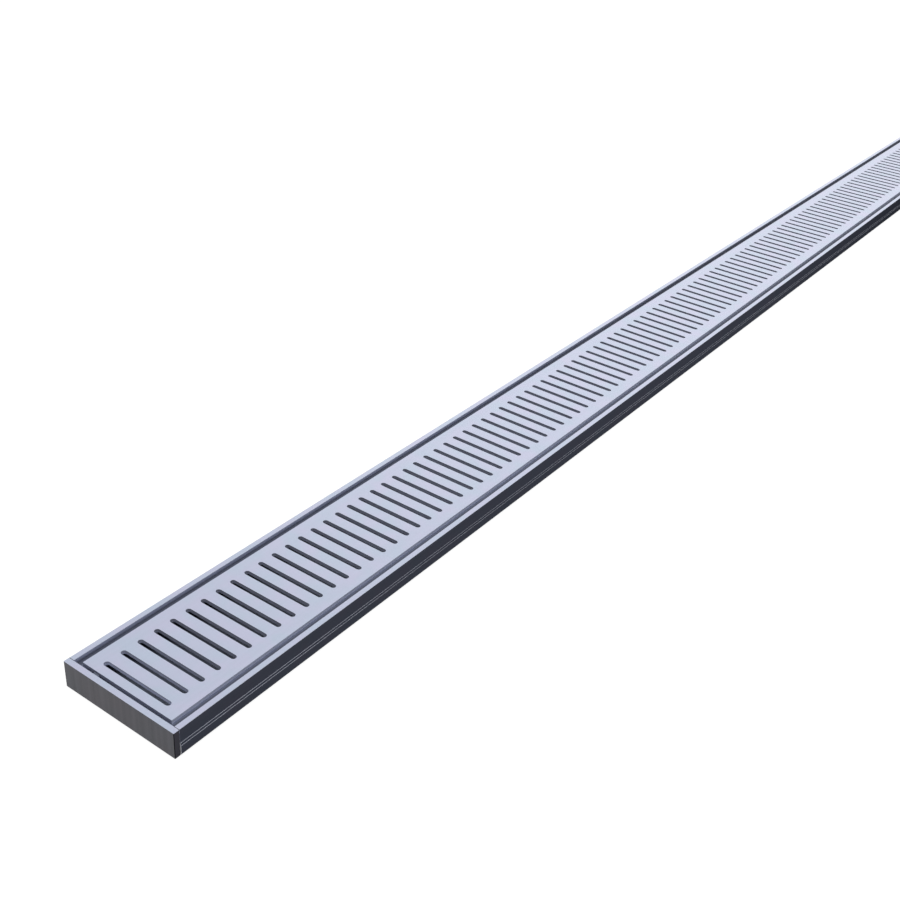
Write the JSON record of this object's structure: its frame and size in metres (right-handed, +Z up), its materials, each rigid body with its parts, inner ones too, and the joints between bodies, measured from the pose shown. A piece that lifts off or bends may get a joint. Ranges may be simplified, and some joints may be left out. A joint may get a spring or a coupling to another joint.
{
  "type": "channel drain",
  "caption": "Long shallow channel drain with flush end plates, a floor outlet and a lift-out slotted grate.",
  "frame": {"origin": "middle of the drain's length and width, on the flat base it rests on", "axes": "+X along the drain, +Y across it, +Z up out of the floor, towards the grate"},
  "size_m": [1.8, 0.1014, 0.021],
  "materials": {
    "channel_metal": "satin anodised",
    "grate_metal": "satin anodised",
    "end_cap_metal": "satin anodised, brushed across the thickness on the end face",
    "seal_rubber": "matt black"
  },
  "bodies": {
    "root": {"channel_body": "channel_metal", "grate": "grate_metal", "near_end_cap": "end_cap_metal", "far_end_cap": "end_cap_metal", "near_end_seal": "seal_rubber", "far_end_seal": "seal_rubber"}
  },
  "joints": []
}
